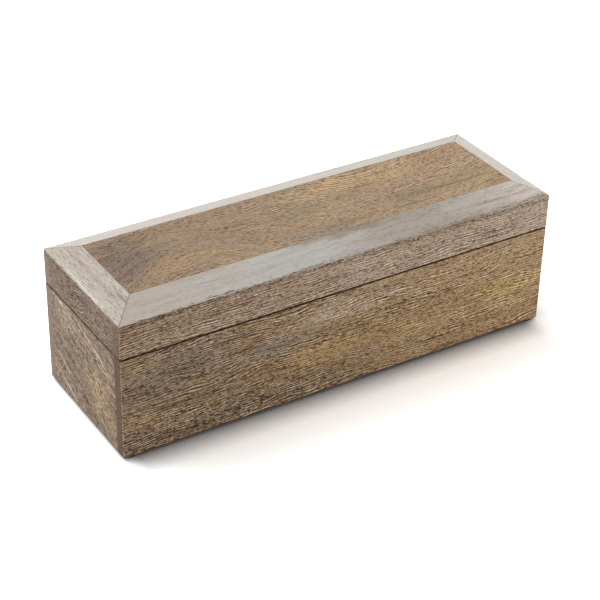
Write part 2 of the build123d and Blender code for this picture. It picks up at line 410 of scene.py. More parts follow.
# %% The grain of mango wood
grain = bpy.data.node_groups.new("mango_grain", "ShaderNodeTree")
for name, kind in (("Place", "NodeSocketVector"), ("Cut", "NodeSocketVector"),
                   ("Wander", "NodeSocketFloat"), ("Fleck", "NodeSocketFloat")):
    grain.interface.new_socket(name, in_out="INPUT", socket_type=kind)
for name, kind in (("Flow", "NodeSocketVector"), ("Zone", "NodeSocketFloat"), ("Hue", "NodeSocketFloat"),
                   ("Patch", "NodeSocketFloat"), ("Shade", "NodeSocketFloat"), ("Pore", "NodeSocketFloat")):
    grain.interface.new_socket(name, in_out="OUTPUT", socket_type=kind)


def drifted(place, length_mm, width_mm, reach):
    """Moves places sideways across the grain, by a noise of that length and width."""
    found = vector_maths(grain, "MULTIPLY", place, grain_scale(length_mm, width_mm))
    found = add_node(grain, "ShaderNodeTexNoise", {"Vector": found, "Scale": 1.0, "Detail": 1.5})
    found = vector_maths(grain, "SUBTRACT", found.outputs["Color"], (0.5, 0.5, 0.5))
    found = vector_maths(grain, "SCALE", found, reach)
    return vector_maths(grain, "MULTIPLY_ADD", found, (0.0, 2.0, 2.0), place)


def along_grain(kind, length_mm, width_mm, offset, inputs, **settings):
    """A pattern in the flowing grain, moved away from the others by its offset."""
    place = vector_maths(grain, "MULTIPLY_ADD", flow, grain_scale(length_mm, width_mm),
                         (offset, offset, offset))
    return add_node(grain, kind, {"Vector": place, "Scale": 1.0, **inputs}, **settings)


def add_shade(shade, pattern, middle, weight):
    """Adds a pattern to the shade, counted from its middle value."""
    swing = maths(grain, "SUBTRACT", pattern, middle)
    return maths(grain, "MULTIPLY_ADD", swing, weight, shade)


given = add_node(grain, "NodeGroupInput")
flow = vector_maths(grain, "ADD", given.outputs["Place"], given.outputs["Cut"])
flow = drifted(flow, wander_length_mm, wander_width_mm, given.outputs["Wander"])
flow = drifted(flow, ripple_length_mm, ripple_width_mm, ripple_mm)
own_flow = vector_maths(grain, "SUBTRACT", flow, given.outputs["Cut"])
zone = along_grain("ShaderNodeTexNoise", zone_length_mm, zone_width_mm, 3.0, {"Detail": 2.0})
hue = along_grain("ShaderNodeTexNoise", hue_length_mm, hue_width_mm, 11.0, {"Detail": 2.0})
patch = along_grain("ShaderNodeTexNoise", patch_length_mm, patch_width_mm, 13.0, {"Detail": 2.0})
fibre = along_grain("ShaderNodeTexGabor", fibre_length_mm, fibre_bundle_mm, 7.0, {
    "Frequency": fibres_in_bundle, "Anisotropy": 0.97, "Orientation 3D": (0.0, 1.0, 1.0)}, gabor_type="3D")
streak = along_grain("ShaderNodeTexNoise", streak_length_mm, streak_width_mm, 9.0, {"Detail": 1.0})
fleck = along_grain("ShaderNodeTexNoise", fleck_length_mm, fleck_width_mm, 5.0, {"Detail": 0.5})
pore_cells = along_grain("ShaderNodeTexVoronoi", pore_length_mm, pore_pitch_mm, 1.0, {})
pore_reach = ranged(grain, patch, (0.3, 0.7), (small_pore, large_pore))
pore = maths(grain, "DIVIDE", pore_cells.outputs["Distance"], pore_reach)
pore = ranged(grain, pore, (0.5, 1.0), (1.0, 0.0))
dark_streak = ranged(grain, streak, (0.58, 0.7))
shade = add_shade(0.0, fibre, 0.5, fibre_weight)
shade = add_shade(shade, dark_streak, 0.1, streak_weight)
shade = add_shade(shade, fleck, 0.5, given.outputs["Fleck"])
shade = add_shade(shade, pore, 0.2, pore_weight)
shade = add_shade(shade, patch, 0.5, patch_weight)
shade = add_shade(shade, zone, 0.5, zone_weight)
add_node(grain, "NodeGroupOutput", {"Flow": own_flow, "Zone": zone, "Hue": hue, "Patch": patch,
                                    "Shade": shade, "Pore": pore})
print("the grain group has", len(grain.nodes), "nodes")

# %% [markdown]
# Every finish starts in the same way: a point of the board in millimetres, turned so that the grain runs
# along X. Each board takes its own cut from the plank, so no two look alike. A knot or a fork of the tree
# bows the grain round it. Marks in a board, such as golden patches and mineral streaks, are soft spots.

# %% Where a board lies in its plank, and its marks
breaking_weight, full_spot = 1.5, 0.8


def soft_spot(tree, place, centre, reach, breaking=None):
    """How near a point is to a spot's centre, from 0 at its reach to 1. A pattern can break up its edge."""
    off = vector_maths(tree, "SUBTRACT", place, centre)
    off = vector_maths(tree, "DIVIDE", off, reach)
    off = vector_maths(tree, "LENGTH", off)
    near = maths(tree, "SUBTRACT", 1.0, off.outputs["Value"])
    if breaking:
        swing = maths(tree, "SUBTRACT", breaking, 0.5)
        near = maths(tree, "MULTIPLY_ADD", swing, breaking_weight, near)
    return ranged(tree, near, (0.0, full_spot), interpolation_type="SMOOTHSTEP")


def new_finish(name, turn_degrees, cut_mm, wander, fleck, bows=()):
    """A material for one cut of wood, its tree, its places and plank in millimetres, and its grain."""
    material, tree = new_material(name)
    place = add_node(tree, "ShaderNodeTexCoord")
    place = add_node(tree, "ShaderNodeMapping", {
        "Vector": place.outputs["Object"], "Scale": (1 / MM, 1 / MM, 1 / MM)})
    plank = add_node(tree, "ShaderNodeMapping", {
        "Vector": place, "Rotation": [math.radians(angle) for angle in turn_degrees]})
    bowed = plank
    for centre, reach, push in bows:
        near = soft_spot(tree, plank, centre, reach)
        shift = vector_maths(tree, "SCALE", push, near)
        bowed = vector_maths(tree, "SUBTRACT", bowed, shift)
    wood = add_node(tree, "ShaderNodeGroup", node_tree=grain)
    tree.links.new(bowed.outputs["Vector"], wood.inputs["Place"])
    for socket_name, value in (("Cut", cut_mm), ("Wander", wander), ("Fleck", fleck)):
        wood.inputs[socket_name].default_value = value
    return material, tree, place, plank, wood


def laid_over(tree, colour, layers):
    """A colour with layers over it, each a share from 0 to 1 and a colour."""
    for share, tint in layers:
        colour = add_node(tree, "ShaderNodeMix", {"Factor_Float": share, "A_Color": colour, "B_Color": tint},
                          data_type="RGBA")
    return colour


def marked(tree, plank, wood, spots):
    """The layers of a board's marks: each a spot in its plank, with a colour and how much of it."""
    layers = []
    for centre, reach, colour, most in spots:
        near = soft_spot(tree, plank, centre, reach, wood.outputs["Patch"])
        share = maths(tree, "MULTIPLY", near, most)
        layers.append((share, linear(colour)))
    return layers


# %% Colour, grain and sheen
surface_ior = 1.5
eye_gamma = 2.2
darkest = [channel ** (1 / eye_gamma) for channel in linear("#1f140d")[:3]]
pore_relief = 0.6


def shaded(tree, colour, wood, contrast):
    """A colour with the grain in it. Filled pores come out deep and warm, hard fibres pale and grey."""
    seen = add_node(tree, "ShaderNodeGamma", {"Color": colour, "Gamma": 1 / eye_gamma})
    light = maths(tree, "MULTIPLY", wood.outputs["Shade"], contrast)
    seen = vector_maths(tree, "ADD", seen, light)
    seen = vector_maths(tree, "MAXIMUM", seen, darkest)
    return add_node(tree, "ShaderNodeGamma", {"Color": seen, "Gamma": eye_gamma})


def finish_surface(tree, pattern, colour, roughness, depth_mm, strength=pore_relief, hollow=True,
                   metallic=0.0):
    """Ends a finish with its shader. roughness is that of the surface and that of the pattern in it."""
    rough = ranged(tree, pattern, to_range=roughness)
    relief = add_node(tree, "ShaderNodeBump", {
        "Height": pattern, "Distance": depth_mm * MM, "Strength": strength}, invert=hollow)
    shader = add_node(tree, "ShaderNodeBsdfPrincipled", {
        "Base Color": colour, "Metallic": metallic, "Roughness": rough, "IOR": surface_ior, "Normal": relief})
    add_node(tree, "ShaderNodeOutputMaterial", {"Surface": shader})


# %% [markdown]
# The outside is stained grey brown and waxed. Stain gathers in the pores and in end grain, the hard
# fibres take less of it, and the wax leaves a soft sheen that is duller where the pores lie open. Along
# the seam a dark band is painted shade, the dark of the gap between lid and box, and the boards are
# darker along their lower edge. Arrises are rubbed pale, and their pale colour is partly a painted
# highlight. Each of these is a layer of colour that is laid over the last one.

# %% Where the seam's painted shade shows, and where arrises are rubbed pale with a painted highlight
board_half_mm = 160.0
box_middle_y_mm = (front_low.y + rear_high.y) / 2 / MM
rim_shade_mm = 3.0
rim_inner_mm = (front_high.x / MM - rim_shade_mm, rear_high.y / MM - box_middle_y_mm - rim_shade_mm, 0.0)
rim_from, rim_to = 0.8, 0.95
arris_from, arris_to, most_worn_and_highlight = 0.8, 0.97, 0.6


def near_the_edge(tree, place, facing):
    """1 on the box's upright faces and the rims' outer millimetres, 0 further in: where the seam's painted
    shade shows.
    """
    upright = ranged(tree, facing.outputs["Z"], (rim_from, rim_to), (1.0, 0.0))
    off_middle = vector_maths(tree, "SUBTRACT", place, (0.0, box_middle_y_mm, 0.0))
    off_middle = vector_maths(tree, "ABSOLUTE", off_middle)
    past = vector_maths(tree, "SUBTRACT", off_middle, rim_inner_mm)
    past = add_node(tree, "ShaderNodeSeparateXYZ", {"Vector": past})
    outer = maths(tree, "MAXIMUM", past.outputs["X"], past.outputs["Y"])
    return maths(tree, "MAXIMUM", outer, upright, use_clamp=True)


def rubbed_arris_and_highlight(tree, facing):
    """How far a place is rubbed pale, partly a painted highlight: most where its face looks along no axis,
    as only the arrises do.
    """
    flat = maths(tree, "MAXIMUM", facing.outputs["X"], facing.outputs["Y"])
    flat = maths(tree, "MAXIMUM", flat, facing.outputs["Z"])
    return ranged(tree, flat, (arris_from, arris_to), (most_worn_and_highlight, 0.0))


# %% Stained and waxed mango
end_grain_colour, end_grain_contrast, end_from, end_to = "#5f4224", 0.35, 0.75, 0.95
# Rubbed arrises show paler wood, and the same pale colour is a painted highlight on their rounded faces.
worn_and_highlight_colour = "#ad9578"
# The seam's colour is painted shade: the dark of the gap between lid and box, on the faces beside it.
seam_shade_colour, seam_shade_mm = "#4c2a0e", (0.9, 0.65)
foot_colour, foot_shade_mm, foot_share = "#6a4420", 1.6, 0.85
gold_from, gold_to, most_gold = 0.5, 0.75, 0.5
seam_middle_mm = (seam_low + seam_high) / 2 / MM
wood_bottom_mm = wood_bottom / MM
waxed_roughness, pore_depth_mm = (0.48, 0.72), 0.12


def stained_mango(name, turn_degrees, cut_mm, tints, contrast, wander=5.0, fleck=0.5, spots=(), bows=(),
                  lively=(), end_colour=end_grain_colour):
    """Stained, waxed mango for one board. tints are its left, right and golden colours, and lively are
    spots where the grain stands out more."""
    material, tree, place, plank, wood = new_finish(name, turn_degrees, cut_mm, wander, fleck, bows)
    parts = add_node(tree, "ShaderNodeSeparateXYZ", {"Vector": place})
    along = ranged(tree, parts, (-board_half_mm, board_half_mm))
    facing = add_node(tree, "ShaderNodeTexCoord")
    facing = vector_maths(tree, "ABSOLUTE", facing.outputs["Normal"])
    facing = add_node(tree, "ShaderNodeSeparateXYZ", {"Vector": facing})
    gold = ranged(tree, wood.outputs["Hue"], (gold_from, gold_to), (0.0, most_gold))
    end_grain = ranged(tree, facing, (end_from, end_to), (0.0, 0.0 if turn_degrees[2] else 1.0))
    # The board is drawn darker along its lower edge.
    foot = maths(tree, "COMPARE", parts.outputs["Z"], wood_bottom_mm, foot_shade_mm)
    foot = maths(tree, "MULTIPLY", foot, foot_share)
    seam_reach = ranged(tree, along, to_range=seam_shade_mm)
    # A band of painted seam shade, wider at the left than at the right.
    seam = maths(tree, "COMPARE", parts.outputs["Z"], seam_middle_mm, seam_reach)
    seam = maths(tree, "MULTIPLY", seam, near_the_edge(tree, place, facing))
    layers = [(along, linear(tints[1])), (gold, linear(tints[2]))] + marked(tree, plank, wood, spots)
    layers += [(end_grain, linear(end_colour)), (rubbed_arris_and_highlight(tree, facing), linear(worn_and_highlight_colour)),
               (foot, linear(foot_colour)), (seam, linear(seam_shade_colour))]
    for centre, reach, extra in lively:
        near = soft_spot(tree, plank, centre, reach)
        contrast = maths(tree, "MULTIPLY_ADD", near, extra, contrast)
    plain = maths(tree, "MAXIMUM", end_grain, foot)
    contrast = ranged(tree, plain, to_range=(contrast, end_grain_contrast))
    colour = shaded(tree, laid_over(tree, linear(tints[0]), layers), wood, contrast)
    finish_surface(tree, wood.outputs["Pore"], colour, waxed_roughness, pore_depth_mm)
    return material


# %% [markdown]
# Each board has its own stain, from its left to its right, and its own marks: golden sapwood, grey mineral
# streaks, pale scratches and one knot. A mark is a centre, a reach, a colour and how much of it shows.

# %% The stain of each board
front_y_mm = body_low.y / MM
front_wood = stained_mango(
    "stained_mango_front", (0, 0, 0), (0, 0, 0), ("#7b5f42", "#bb986c", "#bb9560"), 1.15,
    spots=[
        ((134, front_y_mm, 37), (46, 40, 11), "#d2ae68", 0.6),
        ((62, front_y_mm, 27), (44, 40, 11), "#c09c66", 0.5),
        ((-8, front_y_mm, 33), (50, 40, 11), "#bc9862", 0.6),
        ((-50, front_y_mm, 49), (44, 40, 11), "#92887c", 0.4),
        ((0, front_y_mm, 62), (60, 40, 14), "#bfa58c", 0.6),
        ((-66, front_y_mm, 8), (130, 40, 17), "#6f5a40", 0.6),
        ((-120, front_y_mm, 56), (60, 40, 22), "#8a7a6a", 0.4),
    ],
    lively=[((-90, front_y_mm, 10), (130, 40, 22), 0.5)])
rear_wood = stained_mango(
    "stained_mango_rear", (0, 0, 0), (700, 90, 40), ("#a08a6e", "#a28868", "#bd9a68"), 1.0,
    end_colour="#8c7764")
left_end_wood = stained_mango(
    "stained_mango_left_end", (-20, 0, 90), (40, 300, 0), ("#846b52", "#846b52", "#967b57"), 1.1, 8.0,
    spots=[
        ((12, -160, 36), (24, 40, 24), "#aa8c66", 0.7),
        ((-30, -160, 5), (45, 40, 14), "#78644e", 0.5),
        ((-44, -160, 56), (22, 40, 20), "#a8917a", 0.5),
        ((-23, -160, 1.7), (26, 40, 1.3), "#cbbca6", 0.9),
        ((-28, -160, 15), (24, 40, 1.1), "#bbab95", 0.6),
        ((-2, -160, 64), (26, 40, 1.2), "#c4b49e", 0.7),
    ])
right_end_wood = stained_mango(
    "stained_mango_right_end", (14, 0, 90), (240, 500, 0), ("#98836e", "#a08a72", "#a88e68"), 0.7, 8.0)
front_rail_wood = stained_mango(
    "stained_mango_front_rail", (0, 0, 0), (500, 200, 30), ("#94765a", "#c8ae95", "#b39676"), 1.05, 3.0,
    end_colour="#6e543a")
rear_rail_wood = stained_mango(
    "stained_mango_rear_rail", (0, 0, 0), (900, 260, 30), ("#a58d76", "#a58d76", "#b69c80"), 1.0, 3.0,
    end_colour="#8c7764")
left_rail_wood = stained_mango(
    "stained_mango_left_rail", (0, 0, 90), (90, 700, 10), ("#745b43", "#745b43", "#84694c"), 1.0, 4.0,
    spots=[
        ((6, -160, 89), (14, 40, 3.4), "#4a3020", 0.95),
        ((17, -160, 91), (4.5, 40, 2.4), "#7c4a3e", 0.9),
    ],
    bows=[((12, -160, 89), (22, 40, 14), (0, 0, 4))])
right_rail_wood = stained_mango(
    "stained_mango_right_rail", (0, 0, 90), (190, 900, 10), ("#968270", "#968270", "#a08868"), 0.7, 4.0)
top_mm = box_top / MM
panel_wood = stained_mango(
    "stained_mango_panel", (0, 0, 0), (900, 60, 60), ("#846c51", "#a48767", "#a9895c"), 0.62, 8.0, 0.5,
    spots=[
        ((-130, 3, top_mm), (36, 34, 40), "#665243", 0.85),
        ((-104, -18, top_mm), (26, 14, 40), "#9a7a56", 0.7),
        ((50, 18, top_mm), (70, 14, 40), "#b3946a", 0.7),
        ((-4, 2, top_mm), (34, 8, 40), "#77694f", 0.45),
        ((78, -16, top_mm), (34, 12, 40), "#75664c", 0.5),
        ((118, 20, top_mm), (34, 12, 40), "#96714c", 0.5),
        ((106, -17, top_mm), (44, 1.6, 40), "#5c4630", 0.6),
        ((0, -26, top_mm), (40, 9, 40), "#88776c", 0.5),
    ],
    bows=[((-98, -24, top_mm), (56, 56, 60), (0, 22, 0)), ((64, -12, top_mm), (130, 60, 60), (0, -16, 0))])
arris_wood = stained_mango(
    "stained_mango_arris", (0, 0, 0), (33, 60, 60), ("#866c52", "#a48c76", "#a08664"), 1.0, 3.0, 0.8)

# %% [markdown]
# The bevels are whitewashed: thin chalky paint is brushed on along each moulding and wiped while it is wet.
# It stays thickest in the hollows, lets warm wood through in long streaks and wears off at the lower arris,
# where hands lift the lid. It is duller than the wax.

# %% Whitewashed mango
arris_mm = bevel_bottom / MM
wash_cover, thickest_wash, left_when_worn = 0.93, 0.98, 0.15
brush_length_mm, brush_width_mm = 50.0, 3.0
grain_in_wash, ragged_edge = 0.3, 2.6
chalk_contrast, under_contrast = 0.16, 0.8
chalk_roughness, filled_pore_depth_mm = (0.5, 0.65), 0.05


def whitewashed_mango(name, turn_degrees, cut_mm, tints, streaking=(0.9, 0.9), worn_mm=(0.5, 0.5), spots=()):
    """Whitewash over mango for one moulding. tints are its left and right colours and the wood under it,
    streaking how unevenly it was wiped and worn_mm how far up it is worn off, each at its left and right."""
    material, tree, place, plank, wood = new_finish(name, turn_degrees, cut_mm, 4.0, 0.3)
    parts = add_node(tree, "ShaderNodeSeparateXYZ", {"Vector": place})
    along = ranged(tree, parts, (-board_half_mm, board_half_mm))
    wiped = ranged(tree, along, to_range=streaking)
    chalk = maths(tree, "MULTIPLY", wiped, chalk_contrast)
    layers = [(along, linear(tints[1]))] + marked(tree, plank, wood, spots)
    paint = shaded(tree, laid_over(tree, linear(tints[0]), layers), wood, chalk)
    brushed = vector_maths(tree, "MULTIPLY", wood.outputs["Flow"],
                           grain_scale(brush_length_mm, brush_width_mm))
    brushed = add_node(tree, "ShaderNodeTexNoise", {"Vector": brushed, "Scale": 1.0, "Detail": 2.0})
    cover = maths(tree, "SUBTRACT", brushed, 0.5)
    cover = maths(tree, "MULTIPLY_ADD", cover, wiped, wash_cover)
    cover = maths(tree, "MULTIPLY_ADD", wood.outputs["Shade"], grain_in_wash, cover)
    cover = maths(tree, "MINIMUM", cover, thickest_wash)
    above = maths(tree, "SUBTRACT", parts.outputs["Z"], arris_mm)
    worn = ranged(tree, along, to_range=worn_mm)
    ragged = maths(tree, "MULTIPLY", worn, ragged_edge)
    above = maths(tree, "MULTIPLY_ADD", wood.outputs["Shade"], ragged, above)
    kept = ranged(tree, above, (0.0, worn), (left_when_worn, 1.0))
    cover = maths(tree, "MULTIPLY", cover, kept, use_clamp=True)
    under = shaded(tree, linear(tints[2]), wood, under_contrast)
    colour = laid_over(tree, under, [(cover, paint)])
    finish_surface(tree, wood.outputs["Pore"], colour, chalk_roughness, filled_pore_depth_mm)
    return material


# %% The whitewash of each moulding
front_wash = whitewashed_mango(
    "whitewashed_mango_front", (0, 0, 0), (0, 0, 400), ("#c1b8ac", "#c6bbb0", "#86735c"),
    (0.6, 1.6), (0.4, 1.1), [
        ((-36, -44, 101), (90, 40, 30), "#c5c2bc", 0.9),
        ((52, -44, 101), (64, 40, 30), "#aaa096", 0.65),
        ((86, -52, 97.8), (50, 40, 3.0), "#94846c", 0.5),
        ((152, -44, 101), (46, 40, 30), "#ddd2c5", 0.95),
        ((16, -34, 105), (60, 6, 3.2), "#94846c", 0.8),
    ])
rear_wash = whitewashed_mango(
    "whitewashed_mango_rear", (0, 0, 0), (400, 0, 500), ("#cec7be", "#cec7be", "#93846f"), (0.6, 0.6))
left_wash = whitewashed_mango(
    "whitewashed_mango_left", (0, 0, 90), (0, 0, 600), ("#b4a99c", "#b4a99c", "#8c7862"), (2.0, 2.0),
    (0.15, 0.15), [
        ((0, -150, 101.5), (70, 2.2, 6), "#9c8e7e", 0.8),
        ((38, -147, 103), (16, 1.4, 4), "#7d6c5a", 0.8),
        # A pale cream line along the lower arris: a painted highlight where the rounded arris catches the
        # light.
        ((0, -158.6, 98.5), (70, 1.6, 1.6), "#cfc6ba", 0.9),
    ])
right_wash = whitewashed_mango(
    "whitewashed_mango_right", (0, 0, 90), (300, 0, 700), ("#ebe2d7", "#ebe2d7", "#8c7862"),
    worn_mm=(0.4, 0.4))

# %% [markdown]
# Inside, the wood is bare: sanded, pale and dull. Where two boards meet, glue and dust draw a thin dark line.

# %% Bare mango and joint lines
bare_roughness = (0.7, 0.85)


def bare_mango(name, turn_degrees, cut_mm, tints):
    """Sanded mango wood with no finish, in two tints."""
    material, tree, _, _, wood = new_finish(name, turn_degrees, cut_mm, 6.0, 0.4)
    colour = laid_over(tree, linear(tints[0]), [(wood.outputs["Hue"], linear(tints[1]))])
    colour = shaded(tree, colour, wood, 0.5)
    finish_surface(tree, wood.outputs["Pore"], colour, bare_roughness, pore_depth_mm)
    return material


bare_along = bare_mango("bare_mango_along", (0, 0, 0), (50, 20, 900), ("#b39b7e", "#d0b794"))
bare_across = bare_mango("bare_mango_across", (0, 0, 90), (70, 40, 1200), ("#b39b7e", "#d0b794"))
joint_line = bare_mango("joint_line_glue_and_dust", (0, 0, 0), (10, 10, 10), ("#4d3520", "#5c4430"))
mitre_line = bare_mango("mitre_line_dust_and_paint", (0, 0, 0), (30, 10, 10), ("#5c5144", "#71665a"))
print("there are", len(bpy.data.materials), "materials so far")

# %% [markdown]
# Now every board is dressed. Each takes its outside finish, bare wood and the line at its joints, in that
# order, and a moulding takes the stain of its lower arris too. The boards of the body ride on the box and the
# rails, the mouldings and the panel on the lid, which turns about the hinges.

# %% Dress the boards
boards = {
    "front_board": ("box", "stained_wood", [front_wood, bare_along, joint_line]),
    "rear_board": ("box", "stained_wood", [rear_wood, bare_along, joint_line]),
    "left_end_board": ("box", "stained_wood", [left_end_wood, bare_across, joint_line]),
    "right_end_board": ("box", "stained_wood", [right_end_wood, bare_across, joint_line]),
    "bottom_panel": ("box", "inner_wood", [rear_wood, bare_along, joint_line]),
    "lid_front_rail": ("lid", "stained_wood", [front_rail_wood, bare_along, joint_line]),
    "lid_rear_rail": ("lid", "stained_wood", [rear_rail_wood, bare_along, joint_line]),
    "lid_left_rail": ("lid", "stained_wood", [left_rail_wood, bare_across, joint_line]),
    "lid_right_rail": ("lid", "stained_wood", [right_rail_wood, bare_across, joint_line]),
    "lid_centre_panel": ("lid", "panel_wood", [panel_wood, bare_along, joint_line]),
    "lid_front_moulding": ("lid", "whitewashed_wood", [front_wash, bare_along, mitre_line, arris_wood]),
    "lid_rear_moulding": ("lid", "whitewashed_wood", [rear_wash, bare_along, mitre_line, arris_wood]),
    "lid_left_moulding": ("lid", "whitewashed_wood", [left_wash, bare_across, mitre_line, left_rail_wood]),
    "lid_right_moulding": ("lid", "whitewashed_wood", [right_wash, bare_across, mitre_line, right_rail_wood]),
}
for node, (body, slot, materials) in boards.items():
    dressed_board(node, f"{node}_wood", body, slot, materials)

# %% [markdown]
# The hinges are small brass butt hinges, rolled from sheet and drilled. Brass that is handled keeps its fine
# brushing lines, shines where it is rubbed and goes brown in patches where it isn't. Their leaves and pins
# are the model's own meshes. Each gets the brass, with its brushing along the hinge. Real brushing lines are
# a few hundredths of a millimetre wide, and are drawn a little coarser here, so that they show.

# %% Brushed brass
bright_brass, brown_brass = "#d8b26a", "#9a7440"
brushing_length_mm, brushing_width_mm, brushing_depth_mm, brushing_relief = 6.0, 0.12, 0.02, 0.4
tarnish_mm, tarnish_from, tarnish_to, most_tarnish = 5.0, 0.45, 0.75, 0.7
brass_roughness = (0.22, 0.46)

brass, brass_tree = new_material("brushed_brass")
brass_place = add_node(brass_tree, "ShaderNodeTexCoord")
brass_place = add_node(brass_tree, "ShaderNodeMapping", {
    "Vector": brass_place.outputs["Object"], "Scale": (1 / MM, 1 / MM, 1 / MM)})
brushing = vector_maths(brass_tree, "MULTIPLY", brass_place,
                        grain_scale(brushing_length_mm, brushing_width_mm))
brushing = add_node(brass_tree, "ShaderNodeTexNoise", {"Vector": brushing, "Scale": 1.0, "Detail": 3.0})
tarnish = add_node(brass_tree, "ShaderNodeTexNoise", {
    "Vector": brass_place, "Scale": 1 / tarnish_mm, "Detail": 3.0})
browned = ranged(brass_tree, tarnish, (tarnish_from, tarnish_to), (0.0, most_tarnish))
brass_colour = laid_over(brass_tree, linear(bright_brass), [(browned, linear(brown_brass))])
finish_surface(brass_tree, brushing, brass_colour, brass_roughness, brushing_depth_mm, brushing_relief,
               hollow=False, metallic=1.0)

for side in ("left", "right"):
    for part in ("hinge_body_leaf", "hinge_lid_leaf", "hinge_pin"):
        for mesh_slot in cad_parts[f"{side}_{part}"].material_slots:
            mesh_slot.material = brass
print("two hinges are brushed brass")

# %% [markdown]
# Each leaf is held by two slotted, countersunk wood screws, 1.8 mm thick. A screw is one turned shape with a
# slot across its head and a thread that winds up its shank. Its crest touches the model's own screw, and the
# root is cut deeper. All eight are alike, so a node tree sets one on each point and turns it at random, the
# way that screws end up.

# %% One wood screw
screw_length = 8.0 * MM
head_radius, head_height, head_round = 1.7 * MM, 0.8 * MM, 0.06 * MM
shank_radius, thread_depth, thread_pitch = 0.9 * MM, 0.24 * MM, 0.8 * MM
plain_shank, point_length = 2.4 * MM, 2.0 * MM
slot_width, slot_depth, slot_margin = 0.5 * MM, 0.35 * MM, 0.12 * MM
near_axis = 0.1 * MM
screw_sides, ring_step = 24, 0.1 * MM
facing_up = 0.99
turned_degrees = 35


def shank_reach(depth, share_of_turn):
    """How far the shank and its thread reach from the axis, at a depth and a direction."""
    if depth < plain_shank:
        return shank_radius
    taper = min(1.0, (screw_length - depth) / point_length)
    phase = (depth / thread_pitch - share_of_turn) % 1.0
    groove = thread_depth * (1 - abs(2 * phase - 1) ** 2)
    return max((shank_radius - groove) * taper, 0.0)


def ringed_form(rings):
    """A form with a skin over rings of points, from the top one down, and a closed top. And its last ring."""
    form = bmesh.new()
    rings = [[form.verts.new(point) for point in ring] for ring in rings]
    for upper, lower in zip(rings, rings[1:]):
        for side in range(len(upper)):
            after = (side + 1) % len(upper)
            form.faces.new((upper[after], upper[side], lower[side], lower[after]))
    form.faces.new(rings[0])
    return form, rings[-1]


def screw_rings():
    """The rings of a screw's head and shank, down to where its point begins to close."""
    depths = [0.0, head_round, head_height]
    while depths[-1] + ring_step < screw_length - 0.5 * ring_step:
        depths.append(depths[-1] + ring_step)
    for depth in depths:
        ring = []
        for side in range(screw_sides):
            share = side / screw_sides
            reach = shank_reach(depth, share)
            if depth < head_height:
                reach = head_radius if depth else head_radius - head_round
            angle = 2 * math.pi * share
            ring.append((reach * math.cos(angle), reach * math.sin(angle), -depth))
        yield ring


def cut_slot(form):
    """Cuts the slot across a screw's head."""
    long_half, short_half = head_radius - head_round - slot_margin, slot_width / 2
    for normal, reach in (((1, 0, 0), long_half), ((0, 1, 0), short_half)):
        for sign in (-1, 1):
            top = [face for face in form.faces if face.normal.z > facing_up]
            cut = top + [part for face in top for part in (*face.edges, *face.verts)]
            bmesh.ops.bisect_plane(form, geom=list(dict.fromkeys(cut)), dist=cut_tolerance,
                                   plane_no=normal, plane_co=Vector(normal) * sign * reach)
    slot = [face for face in form.faces if face.normal.z > facing_up
            and face.calc_center_median().xy.length < near_axis]
    sunk = bmesh.ops.extrude_face_region(form, geom=slot)["geom"]
    bmesh.ops.delete(form, geom=slot, context="FACES_ONLY")
    bmesh.ops.translate(form, vec=(0, 0, -slot_depth),
                        verts=[part for part in sunk if isinstance(part, bmesh.types.BMVert)])


def screw_mesh():
    """A slotted, countersunk wood screw, head up, with the top of its head at the origin."""
    form, last = ringed_form(screw_rings())
    point = form.verts.new((0, 0, -screw_length))
    for side in range(screw_sides):
        form.faces.new((last[(side + 1) % screw_sides], last[side], point))
    form.normal_update()
    cut_slot(form)
    bmesh.ops.recalc_face_normals(form, faces=form.faces)
    return smooth_mesh(form, "wood_screw", turned_degrees)


screw = bpy.data.objects.new("wood_screw", screw_mesh())
print("a screw has", len(screw.data.polygons), "faces")

# %% [markdown]
# One node tree repeats a piece. It takes the points, the piece, how it is tipped over and how far it may be
# turned about its axis, and ends in one real mesh with its material. The rubber feet use it too.

# %% A node tree that repeats a piece
repeat = bpy.data.node_groups.new("a_piece_on_each_point", "GeometryNodeTree")
repeat.interface.new_socket("Geometry", in_out="INPUT", socket_type="NodeSocketGeometry")
for name, kind in (("Piece", "NodeSocketObject"), ("Tip", "NodeSocketFloat"),
                   ("Most Turn", "NodeSocketFloat"), ("Seed", "NodeSocketInt"),
                   ("Finish", "NodeSocketMaterial")):
    repeat.interface.new_socket(name, in_out="INPUT", socket_type=kind)
repeat.interface.new_socket("Geometry", in_out="OUTPUT", socket_type="NodeSocketGeometry")
repeat_input = add_node(repeat, "NodeGroupInput")
piece = add_node(repeat, "GeometryNodeObjectInfo", {"Object": repeat_input.outputs["Piece"]})
turn = add_node(repeat, "FunctionNodeRandomValue", {
    "Max_001": repeat_input.outputs["Most Turn"], "Seed": repeat_input.outputs["Seed"]}, data_type="FLOAT")
turning = add_node(repeat, "ShaderNodeCombineXYZ", {"X": repeat_input.outputs["Tip"], "Z": turn})
pieces = add_node(repeat, "GeometryNodeInstanceOnPoints", {
    "Points": repeat_input.outputs["Geometry"], "Instance": piece.outputs["Geometry"], "Rotation": turning})
pieces = add_node(repeat, "GeometryNodeRealizeInstances", {"Geometry": pieces})
pieces = add_node(repeat, "GeometryNodeSetMaterial", {
    "Geometry": pieces, "Material": repeat_input.outputs["Finish"]})
add_node(repeat, "NodeGroupOutput", {"Geometry": pieces})


